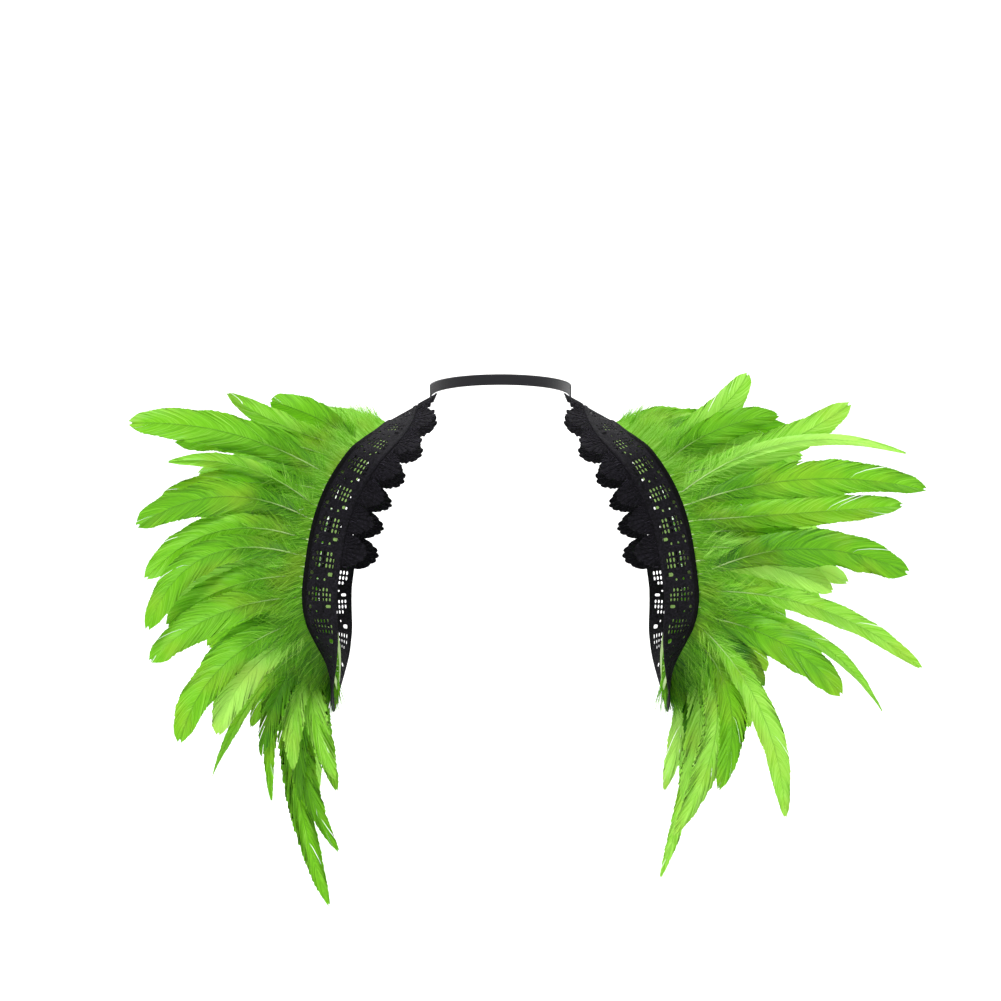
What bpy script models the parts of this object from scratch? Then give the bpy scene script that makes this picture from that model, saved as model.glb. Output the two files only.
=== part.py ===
"""A pair of feathered lace armhole bands, joined behind the neck by a ribbon.

Each band is a closed ring round an arm: it runs from the side of the neck over the front of the
shoulder, down the front of the armhole, under the arm and up the back. Its neck side carries
scalloped lace, and its arm side carries a tape with long cock feathers sewn into it.

+X is the wearer's left, -Y is the front and +Z is up. The origin lies on the shoulder line, midway
between the two bands, where the wearer holds them.
"""

import math

import bmesh
import bpy
from mathutils import Matrix, Vector
from mathutils.bvhtree import BVHTree

MM = 0.001

# The front is drawn as it is seen from straight ahead: across and height are sizes on the upright
# plane through the shoulders, and a point that stands forward of it slides along the line of sight.
SIGHT_DISTANCE = 1900.0
SIGHT_HEIGHT = -86.0

# The arm-side edge of the left band from the side of the neck to under the arm, in millimetres and
# degrees. The band faces "turn" round from the front towards the side and "tilt" up from level.
FRONT_EDGE = (
    # across, height, forward, turn, tilt
    (90, -24, 0, 90, 61),
    (94, -26, 22, 35, 57),
    (101, -31, 42, 16, 44),
    (110, -37, 58, 12, 33),
    (121, -46, 73, 9, 22),
    (135, -66, 84, 6, 12),
    (145, -87, 91, 5, 6),
    (152, -111, 95, 4, 0),
    (157, -143, 95, 4, -2),
    (158.5, -165, 90, 8, -4),
    (155, -184, 81, 24, -5),
    (148, -198, 69, 44, -4),
    (140, -211, 52, 64, -2),
    (135, -222, 28, 80, 0),
    (132, -228, 0, 90, 0),
)
BACK_DEPTH = 0.9  # the back of the ring stands this share as far from the shoulder line as the front

# Lace band, across its width from the arm-side edge: a plain rolled edge, an openwork ladder and
# the braid that the scallops are sewn to. Heights are above the wearer's side of the lace.
BAND_WIDTH = 27.0
BAND_PROFILE = (
    # across, height
    (0.0, 1.0),
    (1.0, 1.8),
    (3.2, 1.8),
    (4.2, 1.2),
    (13.5, 1.2),
    (22.8, 1.2),
    (23.8, 1.8),
    (26.2, 1.8),
    (27.0, 1.0),
)
BAND_SECTIONS = 92
SEAM_GAP = 0.3

# Scalloped edging along the neck side of each band.
SCALLOPS = 13
SCALLOP_PITCH = 27.5
SCALLOP_BASE = 4.0
SCALLOP_DEPTH = 13.5
PICOTS = 5
PICOT_DEPTH = 2.2
EDGING_EDGE = 1.1
EDGING_CROWN = 2.0

# The tape that the feathers are sewn into lies behind the band's arm-side edge.
TAPE_WIDTH = 7.0
TAPE_THICKNESS = 1.6
TAPE_TUCK = 2.4
TAPE_GAP = 0.8
QUILL_ROOT = 3.0
QUILL_STUB = 4.5
QUILL_WIDTH = 2.4

# A feather, from its quill to its tip: share of the length and share of the full width.
BLADE_OUTLINE = (
    # along, across
    (0.00, 0.00),
    (0.10, 0.20),
    (0.24, 0.62),
    (0.44, 0.96),
    (0.66, 1.00),
    (0.85, 0.78),
    (0.96, 0.38),
    (1.00, 0.06),
)
SHAFT_THICKNESS = 1.3
CUP = 0.09  # the vane's edges lie this share of its width behind the shaft

# The feathers that draw the outline, in millimetres and degrees. A feather leaves its band "place"
# along the edge from the neck and ends at the tip; its middle stands "bow" off the straight line.
LEFT_FEATHERS = (
    # place, tip across, tip height, tip forward, bow, width, roll
    (80, 198, 16, 76, -10, 24, 0),
    (97, 223, -18, 92, 8, 24, 8),
    (109, 280, -8, 112, -10, 25, 6),
    (124, 323, -49, 94, 24, 22, 2),
    (135, 342, -78, 112, 14, 26, 8),
    (148, 323, -90, 98, 0, 24, 6),
    (189, 327, -144, 118, 19, 28, 8),
    (203, 338, -222, 104, 18, 18, 10),
    (216, 307, -257, 90, 23, 12, 24),
    (224, 273, -242, 124, 14, 28, 8),
    (232, 228, -342, 104, 17, 20, 10),
    (246, 174, -318, 88, 20, 24, 10),
    (260, 137, -355, 78, 24, 26, 8),
    (278, 144, -330, 62, 10, 26, 6),
    (318, 127, -390, 18, 14, 18, 6),
)
RIGHT_FEATHERS = (
    # place, tip across, tip height, tip forward, bow, width, roll
    (67, 184, -6, 70, 3, 24, 0),
    (79, 219, 0, 84, -6, 20, 8),
    (109, 298, -24, 98, 12, 27, 8),
    (135, 266, -53, 90, 13, 14, 24),
    (146, 291, -107, 116, 20, 26, 8),
    (162, 284, -149, 104, 22, 26, 8),
    (175, 283, -190, 118, 32, 24, 10),
    (191, 267, -186, 96, 11, 26, 8),
    (208, 281, -215, 110, 13, 25, 8),
    (228, 257, -280, 112, 20, 26, 10),
    (238, 226, -274, 92, 14, 26, 10),
    (250, 231, -308, 74, 9, 12, 28),
    (272, 180, -331, 66, 16, 14, 20),
    (290, 132, -310, 52, 10, 24, 6),
    (308, 128, -370, 32, 26, 24, 6),
    (322, 136, -412, 14, 22, 26, 6),
)

# The feathers between and behind them follow the lie of the trim: at a place along the edge a
# feather points "rise" up from level in the upright plane, and "lean" out of it to the front.
LIE = (
    # place, rise, lean, length
    (0, -4, 4, 88),
    (35, -7, 4, 96),
    (60, -4, 4, 104),
    (84, 3, 4, 114),
    (124, 0, 2, 128),
    (164, -12, 1, 122),
    (204, -26, 1, 104),
    (236, -46, 2, 100),
    (264, -66, 7, 104),
    (299, -80, 11, 112),
    (331, -86, 11, 118),
)
FIRST_FILL = 5.0
FRONT_FILL = 15
BACK_FILL = 25
FILL_WIDTH = 24.0
FILL_BOW = 8.0
FILL_SHINGLE = 8.0  # each of them is turned by this much, so that it lies over the next
FILL_RISES = (-4, 2, 0, 4)
FILL_LEANS = (0, 6, 12)
FILL_LENGTHS = (1.0, 0.9, 1.06, 0.95, 0.86)
FRONT_SET_BACK = 14  # those of the front lean this far back, behind the outline's feathers

# Each feather is laid clear of those before it: its tip moves off by the first of these steps that
# clears them, and where none does the feather is a narrower one.
LAY_STEPS = (0, 3, -3, 6, -6, 9, -9, 12, -12, 15, -15, 18, -18, 22, -22, 26, -26)
LAY_WIDTHS = (1.0, 0.7, 0.45)
LAY_NEIGHBOURS = 8
LAY_CLEARANCE = 0.8

# The ribbon behind the neck.
NAPE_BACK = 62.0
NAPE_RISE = 12.0
NAPE_WIDTH = 9.0
NAPE_INSET = 13.0
NAPE_THICKNESS = 1.6
NAPE_SECTIONS = 20

LACE = ("black lace", (0.012, 0.012, 0.016), 0.72)
RIBBON = ("black ribbon", (0.015, 0.015, 0.018), 0.6)
FEATHER = ("green feather", (0.16, 0.56, 0.03), 0.45)


def seen_point(across, height, forward):
    """The point that is seen at across and height, brought forward of the shoulder plane."""
    nearer = (SIGHT_DISTANCE - forward) / SIGHT_DISTANCE
    return Vector((across * nearer, -forward, SIGHT_HEIGHT + (height - SIGHT_HEIGHT) * nearer))


def facing(turn, tilt):
    """The direction that cloth faces, turn from the front to the side and tilt up from level."""
    turn, tilt = math.radians(turn), math.radians(tilt)
    return Vector((math.sin(turn) * math.cos(tilt), -math.cos(turn) * math.cos(tilt), math.sin(tilt)))


def smooth_between(values, position):
    """A smooth closed curve through the values, read at a position counted in values."""
    first = math.floor(position)
    share = position - first
    before, start, end, after = (values[(first + step) % len(values)] for step in (-1, 0, 1, 2))
    return 0.5 * (
        2 * start
        + (end - before) * share
        + (2 * before - 5 * start + 4 * end - after) * share**2
        + (3 * start - before - 3 * end + after) * share**3
    )


def read_table(table, place, column):
    """A column of a table whose first column is a place, read between its rows."""
    if place <= table[0][0]:
        return table[0][column]
    for lower, upper in zip(table, table[1:]):
        if place <= upper[0]:
            share = (place - lower[0]) / (upper[0] - lower[0])
            return lower[column] + share * (upper[column] - lower[column])
    return table[-1][column]


class Ring:
    """The left band's arm-side edge as a closed curve, measured along its length from the neck."""

    STEPS = 30

    def __init__(self):
        front = [seen_point(*row[:3]) for row in FRONT_EDGE]
        faces = [facing(*row[3:]) for row in FRONT_EDGE]
        self.edge = front + [Vector((p.x, -p.y * BACK_DEPTH, p.z)) for p in front[-2:0:-1]]
        self.face = faces + [Vector((f.x, -f.y, f.z)) for f in faces[-2:0:-1]]
        count = len(self.edge) * self.STEPS
        self.positions = [step / self.STEPS for step in range(count + 1)]
        points = [smooth_between(self.edge, position) for position in self.positions]
        self.places = [0.0]
        for start, end in zip(points, points[1:]):
            self.places.append(self.places[-1] + (end - start).length)
        self.length = self.places[-1]
        self.underarm = self.places[(len(FRONT_EDGE) - 1) * self.STEPS]

    def position(self, place):
        """The curve position of a place along the edge."""
        place %= self.length
        low, high = 0, len(self.places) - 1
        while high - low > 1:
            middle = (low + high) // 2
            if self.places[middle] <= place:
                low = middle
            else:
                high = middle
        share = (place - self.places[low]) / (self.places[high] - self.places[low])
        return self.positions[low] + share / self.STEPS

    def frame(self, place):
        """The edge point there, the way out to the arm, the way the lace faces and the way along."""
        position = self.position(place)
        point = smooth_between(self.edge, position)
        along = smooth_between(self.edge, position + 0.02) - smooth_between(self.edge, position - 0.02)
        along.normalize()
        face = smooth_between(self.face, position)
        face = (face - along * face.dot(along)).normalized()
        return point, face.cross(along), face, along

    def on_band(self, place, across, height):
        """A point of the band, across from its arm-side edge and height above its wearer's side."""
        point, outward, face, _ = self.frame(place)
        return point - outward * across + face * height


def closed_strip(sections, cyclic=True):
    """Vertices and faces of a strip whose sections are loops of as many points each."""
    size = len(sections[0])
    vertices = [point for section in sections for point in section]
    faces = []
    rows = len(sections) if cyclic else len(sections) - 1
    for row in range(rows):
        here, there = row * size, (row + 1) % len(sections) * size
        for corner in range(size):
            after = (corner + 1) % size
            faces.append((here + corner, here + after, there + after, there + corner))
    if not cyclic:
        last = (len(sections) - 1) * size
        faces.append(tuple(range(size - 1, -1, -1)))
        faces.append(tuple(range(last, last + size)))
    return vertices, faces


def band_sections(ring):
    """Sections of the lace band, with its profile above and a flat side to the wearer."""
    sections = []
    for index in range(BAND_SECTIONS):
        place = ring.length * index / BAND_SECTIONS
        section = [ring.on_band(place, across, height) for across, height in BAND_PROFILE]
        section += [ring.on_band(place, BAND_WIDTH * share, 0.0) for share in (1.0, 0.5, 0.0)]
        sections.append(section)
    return sections


def scallop_depth(share):
    """How far a scallop reaches from its sewn edge, at a share of its pitch, with its picots."""
    fan = math.sin(math.pi * share) ** 0.7 if 0 < share < 1 else 0.0
    picot = abs(math.sin(math.pi * PICOTS * share)) * (0.35 + 0.65 * fan)
    return SCALLOP_BASE + SCALLOP_DEPTH * fan + PICOT_DEPTH * picot


def edging_sections(ring):
    """Sections of the scalloped lace, as far down the back of the armhole as the front."""
    sections = []
    steps = 2 * PICOTS
    reach = SCALLOPS * SCALLOP_PITCH / 2
    sewn = BAND_WIDTH + SEAM_GAP
    for step in range(SCALLOPS * steps + 1):
        place = step / steps * SCALLOP_PITCH - reach
        share = step % steps / steps
        depth = scallop_depth(share)
        sections.append(
            [
                ring.on_band(place, sewn, 0.0),
                ring.on_band(place, sewn, EDGING_CROWN),
                ring.on_band(place, sewn + depth * 0.55, EDGING_CROWN),
                ring.on_band(place, sewn + depth, EDGING_EDGE),
                ring.on_band(place, sewn + depth, 0.0),
            ]
        )
    return sections


def ribbon_sections(ring):
    """Sections of the nape ribbon, which stands on edge with its ends on the two neck scallops."""
    end = ring.on_band(0.0, BAND_WIDTH + NAPE_INSET, EDGING_CROWN + SEAM_GAP)
    end.z += NAPE_WIDTH / 2
    sections = []
    for index in range(NAPE_SECTIONS + 1):
        swing = math.pi * (index / NAPE_SECTIONS - 0.5)
        back = math.cos(swing)
        centre = Vector((end.x * math.sin(swing), end.y + (NAPE_BACK - end.y) * back, end.z + NAPE_RISE * back))
        out = Vector((math.sin(swing), back, 0)) * (NAPE_THICKNESS / 2)
        up = Vector((0, 0, NAPE_WIDTH / 2))
        sections.append([centre + out + up, centre - out + up, centre - out - up, centre + out - up])
    return sections


def bent_line(ring, place, tip, bow):
    """A cubic line from a quill's end to the tip, whose middle stands bow off the straight line.

    Where the tip lies back across the lace, the feather first stands out from it.
    """
    start = stub_end(ring, place)
    _, outward, face, _ = ring.frame(place)
    chord = tip - start
    up = Vector((-chord.z, 0, chord.x)).normalized()
    off = up * bow * 4 / 3
    across = (1 - chord.normalized().dot(outward)) / 2
    leave = (chord.normalized() * (1 - across) + (face + outward * 0.4) * across).normalized()
    return start, start + leave * chord.length / 3 + off * (1 - across), start + chord * 2 / 3 + off, tip


def line_point(line, share):
    """The point and the direction of a cubic line at a share of it."""
    a, b, c, d = line
    rest = 1 - share
    point = a * rest**3 + b * 3 * rest**2 * share + c * 3 * rest * share**2 + d * share**3
    ahead = (b - a) * 3 * rest**2 + (c - b) * 6 * rest * share + (d - c) * 3 * share**2
    return point, ahead.normalized()


def feather_sections(line, face, width, extra=0.0):
    """Four-sided sections of a feather: one vane edge, the shaft's crown, the other edge, its back."""
    sections = []
    for share, spread in BLADE_OUTLINE:
        point, ahead = line_point(line, share)
        up = (face - ahead * face.dot(ahead)).normalized()
        side = ahead.cross(up)
        full = max(width * spread, QUILL_WIDTH if share < 0.5 else 1.0)
        thick = SHAFT_THICKNESS * (1 - 0.5 * share) / 2 + extra
        drop = CUP * (full - 1.0)
        sections.append(
            [
                point - side * full / 2 - up * drop,
                point + up * thick,
                point + side * full / 2 - up * drop,
                point - up * thick,
            ]
        )
    return sections


def stub_end(ring, place):
    """Where a feather's quill has cleared the band's edge."""
    point, outward, face, _ = ring.frame(place)
    lie = TAPE_GAP + TAPE_THICKNESS / 2
    return point - outward * TAPE_TUCK - face * lie + outward * (TAPE_TUCK + QUILL_STUB)


def mirrored(vector):
    """The same point on the wearer's other side."""
    return Vector((-vector.x, vector.y, vector.z))


def drawn_feather(ring, row):
    """Place, tip, bow, facing and width of one feather of the outline tables."""
    place, across, height, forward, bow, width, roll = row
    tip = seen_point(across, height, forward)
    turned = Matrix.Rotation(math.radians(roll), 3, tip - stub_end(ring, place))
    return place, tip, bow, turned @ Vector((0, -1, 0)), width


def fill_feather(ring, place, number):
    """Place, tip, bow, facing and width of a feather that follows the lie of the trim."""
    front = place <= ring.underarm
    mapped = place if front else (ring.length - place) * ring.underarm / (ring.length - ring.underarm)
    rise = math.radians(read_table(LIE, mapped, 1) + FILL_RISES[number % len(FILL_RISES)])
    lean = read_table(LIE, mapped, 2) + FILL_LEANS[number % len(FILL_LEANS)]
    lean = math.radians(lean - (FRONT_SET_BACK if front else 0))
    length = read_table(LIE, mapped, 3) * FILL_LENGTHS[number % len(FILL_LENGTHS)]
    forward = -1 if front else 1
    flat = length * math.cos(lean)
    reach = Vector((flat * math.cos(rise), forward * length * math.sin(lean), flat * math.sin(rise)))
    _, _, face, _ = ring.frame(place)
    turned = Matrix.Rotation(math.radians(FILL_SHINGLE), 3, reach)
    facing_out = turned @ (face * 0.4 + Vector((0, forward, 0)))
    return place, stub_end(ring, place) + reach, FILL_BOW, facing_out.normalized(), FILL_WIDTH


def lay_feathers(ring, feathers):
    """The place and the sections of each feather, laid clear of those before it."""
    laid, trees = [], []
    for place, tip, bow, face, width in sorted(feathers, key=lambda feather: feather[0]):
        for narrowed, step in ((share, step) for share in LAY_WIDTHS for step in LAY_STEPS):
            line = bent_line(ring, place, tip + face * step, bow)
            room = feather_sections(line, face, width * narrowed, LAY_CLEARANCE)
            tree = BVHTree.FromPolygons(*closed_strip(room, cyclic=False))
            if not any(tree.overlap(other) for other in trees[-LAY_NEIGHBOURS:]):
                break
        trees.append(tree)
        laid.append((place, feather_sections(line, face, width * narrowed)))
    return laid


def fill_places(ring, drawn):
    """Places for the other feathers: in the widest gaps of the front, then evenly over the back."""
    first, under = FIRST_FILL, ring.underarm + 6
    taken = sorted([first] + [row[0] for row in drawn] + [under])
    for _ in range(FRONT_FILL):
        widest = max(zip(taken, taken[1:]), key=lambda pair: pair[1] - pair[0])
        taken = sorted(taken + [(widest[0] + widest[1]) / 2])
    front = [place for place in taken if place not in {row[0] for row in drawn}]
    pitch = (ring.length - under) / (BACK_FILL + 1)
    return front + [under + pitch * (index + 1) for index in range(BACK_FILL)]


def side_feathers(ring, drawn):
    """All feathers of one side in the order of their places."""
    feathers = [drawn_feather(ring, row) for row in drawn]
    feathers += [fill_feather(ring, place, number) for number, place in enumerate(fill_places(ring, drawn))]
    return lay_feathers(ring, feathers)


def tape_section(ring, place):
    """The tape's corners there: arm side next to the lace, arm side next to the wearer, and back."""
    point, outward, face, _ = ring.frame(place)
    top = point - outward * TAPE_TUCK - face * TAPE_GAP
    under = top - face * TAPE_THICKNESS
    return [top, under, under - outward * TAPE_WIDTH, top - outward * TAPE_WIDTH]


def fringe_mesh(ring, feathers):
    """The tape as a ring of sections, with each feather drawn out of its own face of the arm side."""
    places = []
    for place, _ in feathers:
        places += [place - QUILL_ROOT / 2, place + QUILL_ROOT / 2]
    vertices = [point for place in places for point in tape_section(ring, place)]
    faces = []
    for index in range(len(places)):
        here, there = index * 4, (index + 1) % len(places) * 4
        rooted = index % 2 == 0
        for corner in range(1 if rooted else 0, 4):
            after = (corner + 1) % 4
            faces.append((here + corner, here + after, there + after, there + corner))
        if not rooted:
            continue
        loop = [here, there, there + 1, here + 1]
        for section in feathers[index // 2][1]:
            first = len(vertices)
            vertices += section
            fresh = [first, first + 1, first + 2, first + 3]
            for corner in range(4):
                after = (corner + 1) % 4
                faces.append((loop[corner], loop[after], fresh[after], fresh[corner]))
            loop = fresh
        faces.append(tuple(loop))
    return vertices, faces


def material(name, colour, roughness):
    """A plain Principled material."""
    made = bpy.data.materials.new(name)
    made.use_nodes = True
    shader = made.node_tree.nodes["Principled BSDF"]
    shader.inputs["Base Color"].default_value = (*colour, 1.0)
    shader.inputs["Roughness"].default_value = roughness
    shader.inputs["Metallic"].default_value = 0.0
    made.diffuse_color = (*colour, 1.0)
    return made


def add_solid(name, vertices, faces, made, flip=False):
    """An object from points in millimetres, mirrored to the wearer's other side where asked."""
    points = [mirrored(vertex) if flip else vertex for vertex in vertices]
    mesh = bpy.data.meshes.new(name)
    mesh.from_pydata([point * MM for point in points], [], faces)
    shape = bmesh.new()
    shape.from_mesh(mesh)
    bmesh.ops.recalc_face_normals(shape, faces=shape.faces)
    shape.to_mesh(mesh)
    shape.free()
    mesh.materials.append(made)
    mesh.shade_smooth()
    mesh.set_sharp_from_angle(angle=math.radians(40))
    solid = bpy.data.objects.new(name, mesh)
    bpy.context.collection.objects.link(solid)
    return solid


def build():
    """Clear the scene and make every piece."""
    for item in list(bpy.data.objects):
        bpy.data.objects.remove(item, do_unlink=True)
    lace, ribbon, feather = (material(*entry) for entry in (LACE, RIBBON, FEATHER))
    ring = Ring()
    for side, drawn, flip in (("left", LEFT_FEATHERS, False), ("right", RIGHT_FEATHERS, True)):
        add_solid(f"{side}_lace_band", *closed_strip(band_sections(ring)), lace, flip)
        add_solid(f"{side}_scalloped_edging", *closed_strip(edging_sections(ring), cyclic=False), lace, flip)
        feathers = side_feathers(ring, drawn)
        add_solid(f"{side}_feather_fringe", *fringe_mesh(ring, feathers), feather, flip)
    add_solid("nape_ribbon", *closed_strip(ribbon_sections(ring), cyclic=False), ribbon)


build()
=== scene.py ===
"""Feathered lace armhole bands: the cloth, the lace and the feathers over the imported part.

Lengths in the tables and in the layout are millimetres; each finished mesh is in metres.
"""

import math

import bpy
import numpy as np
from bpy.props import FloatProperty, FloatVectorProperty, IntProperty, PointerProperty
from mathutils import Matrix, Vector
from mathutils.bvhtree import BVHTree


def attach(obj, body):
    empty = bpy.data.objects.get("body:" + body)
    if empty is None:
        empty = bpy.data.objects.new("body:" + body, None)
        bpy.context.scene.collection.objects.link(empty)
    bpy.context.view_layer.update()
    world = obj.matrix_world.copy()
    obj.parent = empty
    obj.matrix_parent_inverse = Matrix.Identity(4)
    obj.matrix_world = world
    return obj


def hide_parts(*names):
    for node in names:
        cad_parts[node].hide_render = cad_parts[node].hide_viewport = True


bl_info = {
    "name": "Feathered lace armhole bands",
    "version": (1, 0, 0),
    "blender": (4, 5, 0),
    "location": "View3D > Sidebar > Trim",
    "description": "Adds the lace, the feathers and the studio of a pair of feathered armhole bands",
    "category": "Object",
}

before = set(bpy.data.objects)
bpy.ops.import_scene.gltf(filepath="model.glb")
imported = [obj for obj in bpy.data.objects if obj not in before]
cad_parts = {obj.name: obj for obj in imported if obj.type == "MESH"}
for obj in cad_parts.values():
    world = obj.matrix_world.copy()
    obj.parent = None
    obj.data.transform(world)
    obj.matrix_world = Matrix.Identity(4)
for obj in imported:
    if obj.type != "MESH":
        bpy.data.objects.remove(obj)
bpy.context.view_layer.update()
MM = 0.001

# The front is drawn as it is seen from straight ahead: across and height are sizes on the upright
# plane through the shoulders, and a point that stands forward of it slides along the line of sight.
SIGHT_DISTANCE = 1900.0
SIGHT_HEIGHT = -86.0

# The arm-side edge of the left band from the side of the neck to under the arm, in millimetres and
# degrees. The band faces "turn" round from the front towards the side and "tilt" up from level.
FRONT_EDGE = (
    # across, height, forward, turn, tilt
    (90, -24, 0, 90, 61),
    (94, -26, 22, 35, 57),
    (101, -31, 42, 16, 44),
    (110, -37, 58, 12, 33),
    (121, -46, 73, 9, 22),
    (135, -66, 84, 6, 12),
    (145, -87, 91, 5, 6),
    (152, -111, 95, 4, 0),
    (157, -143, 95, 4, -2),
    (158.5, -165, 90, 8, -4),
    (155, -184, 81, 24, -5),
    (148, -198, 69, 44, -4),
    (140, -211, 52, 64, -2),
    (135, -222, 28, 80, 0),
    (132, -228, 0, 90, 0),
)
BACK_DEPTH = 0.9  # the back of the ring stands this share as far from the shoulder line as the front

# The lace band: a plain rolled edge on the arm side, an openwork ladder, and the braid that the
# scallops are sewn to. The solids stand clear of each other by the seam gap.
BAND_WIDTH = 27.0
SEAM_GAP = 0.3

# Scalloped edging along the neck side of each band.
SCALLOPS = 13
SCALLOP_PITCH = 27.5
SCALLOP_BASE = 4.0
SCALLOP_DEPTH = 13.5
PICOTS = 5
PICOT_DEPTH = 2.2
EDGING_CROWN = 2.0  # how far the solid edging rises above the wearer's side

# The tape that the feathers are sewn into lies behind the band's arm-side edge.
TAPE_WIDTH = 7.0
TAPE_THICKNESS = 1.6
TAPE_TUCK = 2.4
TAPE_GAP = 0.8
QUILL_STUB = 4.5
QUILL_WIDTH = 2.4

# A feather, from its quill to its tip: share of the length and share of the full width.
BLADE_OUTLINE = (
    # along, across
    (0.00, 0.00),
    (0.10, 0.20),
    (0.24, 0.62),
    (0.44, 0.96),
    (0.66, 1.00),
    (0.85, 0.78),
    (0.96, 0.38),
    (1.00, 0.06),
)
SHAFT_THICKNESS = 1.3
CUP = 0.09  # the vane's edges lie this share of its width behind the shaft

# The feathers that draw the outline, in millimetres and degrees. A feather leaves its band "place"
# along the edge from the neck and ends at the tip; its middle stands "bow" off the straight line.
LEFT_FEATHERS = (
    # place, tip across, tip height, tip forward, bow, width, roll
    (80, 198, 16, 76, -10, 24, 0),
    (97, 223, -18, 92, 8, 24, 8),
    (109, 280, -8, 112, -10, 25, 6),
    (124, 323, -49, 94, 24, 22, 2),
    (135, 342, -78, 112, 14, 26, 8),
    (148, 323, -90, 98, 0, 24, 6),
    (189, 327, -144, 118, 19, 28, 8),
    (203, 338, -222, 104, 18, 18, 10),
    (216, 307, -257, 90, 23, 12, 24),
    (224, 273, -242, 124, 14, 28, 8),
    (232, 228, -342, 104, 17, 20, 10),
    (246, 174, -318, 88, 20, 24, 10),
    (260, 137, -355, 78, 24, 26, 8),
    (278, 144, -330, 62, 10, 26, 6),
    (318, 127, -390, 18, 14, 18, 6),
)
RIGHT_FEATHERS = (
    # place, tip across, tip height, tip forward, bow, width, roll
    (67, 184, -6, 70, 3, 24, 0),
    (79, 219, 0, 84, -6, 20, 8),
    (109, 298, -24, 98, 12, 27, 8),
    (135, 266, -53, 90, 13, 14, 24),
    (146, 291, -107, 116, 20, 26, 8),
    (162, 284, -149, 104, 22, 26, 8),
    (175, 283, -190, 118, 32, 24, 10),
    (191, 267, -186, 96, 11, 26, 8),
    (208, 281, -215, 110, 13, 25, 8),
    (228, 257, -280, 112, 20, 26, 10),
    (238, 226, -274, 92, 14, 26, 10),
    (250, 231, -308, 74, 9, 12, 28),
    (272, 180, -331, 66, 16, 14, 20),
    (290, 132, -310, 52, 10, 24, 6),
    (308, 128, -370, 32, 26, 24, 6),
    (322, 136, -412, 14, 22, 26, 6),
)

# The feathers between and behind them follow the lie of the trim: at a place along the edge a
# feather points "rise" up from level in the upright plane, and "lean" out of it to the front.
LIE = (
    # place, rise, lean, length
    (0, -4, 4, 88),
    (35, -7, 4, 96),
    (60, -4, 4, 104),
    (84, 3, 4, 114),
    (124, 0, 2, 128),
    (164, -12, 1, 122),
    (204, -26, 1, 104),
    (236, -46, 2, 100),
    (264, -66, 7, 104),
    (299, -80, 11, 112),
    (331, -86, 11, 118),
)
FIRST_FILL = 5.0
FRONT_FILL = 15
BACK_FILL = 25
FILL_WIDTH = 24.0
FILL_BOW = 8.0
FILL_SHINGLE = 8.0  # each of them is turned by this much, so that it lies over the next
FILL_RISES = (-4, 2, 0, 4)
FILL_LEANS = (0, 6, 12)
FILL_LENGTHS = (1.0, 0.9, 1.06, 0.95, 0.86)
FRONT_SET_BACK = 14  # those of the front lean this far back, behind the outline's feathers

# Each feather is laid clear of those before it: its tip moves off by the first of these steps that
# clears them, and where none does the feather is a narrower one.
LAY_STEPS = (0, 3, -3, 6, -6, 9, -9, 12, -12, 15, -15, 18, -18, 22, -22, 26, -26)
LAY_WIDTHS = (1.0, 0.7, 0.45)
LAY_NEIGHBOURS = 8
LAY_CLEARANCE = 0.8

# The ribbon behind the neck: how far back and up it bows, and how far in on the edging it starts.
NAPE_BACK = 62.0
NAPE_RISE = 12.0
NAPE_WIDTH = 9.0
NAPE_INSET = 13.0

FRAME_PIXELS = 1001
PIXEL_SIZE = 0.8  # millimetres a pixel on the plane through the shoulders

# The lace motif repeats along the band: three rows of short slits, then a leaf with two round eyes.
LACE_NAME = "embroidered viscose lace"
LACE_MOTIFS = 23
LACE_PITCH = 27.93
CORD_EDGE = 3.2  # the outer cord ends here
BRAID_EDGE = 23.4  # and the plaited braid starts here
LACE_ACROSS = (
    0.0, 0.9, 2.0, 3.2, 4.6, 6.2, 7.3, 8.9, 10.0, 11.6, 12.7,
    14.3, 15.4, 17.0, 18.1, 19.7, 20.8, 22.4, 23.4, 24.6, 25.8, 27.0,
)
LACE_ALONG = (0.0, 1.2, 4.7, 5.7, 9.4, 10.4, 14.0, 15.4, 17.2, 20.0, 21.6, 23.8, 25.8)
SLIT_COLUMNS = tuple((LACE_ACROSS[line], LACE_ACROSS[line + 1]) for line in range(4, 18, 2))
LEAF_START = 14.0
LACE_SLITS = (
    # along from, along to, columns
    (1.2, 4.7, (1, 2, 3, 4, 5)),
    (5.7, 9.4, (0, 1, 2, 3, 4, 5, 6)),
    (10.4, 14.0, (1, 2, 3, 4, 5, 6)),
    (21.6, 23.8, (0, 2, 4)),
)
LACE_EYES = (
    # along from, along to, across from, across to
    (17.2, 20.0, 4.6, 7.3),
    (17.2, 20.0, 18.1, 22.4),
)
LACE_TUCK = 0.8  # the scalloped lace is sewn this far under the band's braid
LACE_WAVE = 2.7  # from thread to thread across the ladder
PLAIT_PITCH = 2.3
RIBBON_TAB = 2.2  # the ribbon's ends reach this much lower, where they are sewn on
EDGING_CELLS = (18, 60)
RIBBON_CELLS = (6, 120)
TAPE_CELLS = (4, 240)
TAPE_WALL = 0.6
RIBBON_WALL = 0.8

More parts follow.
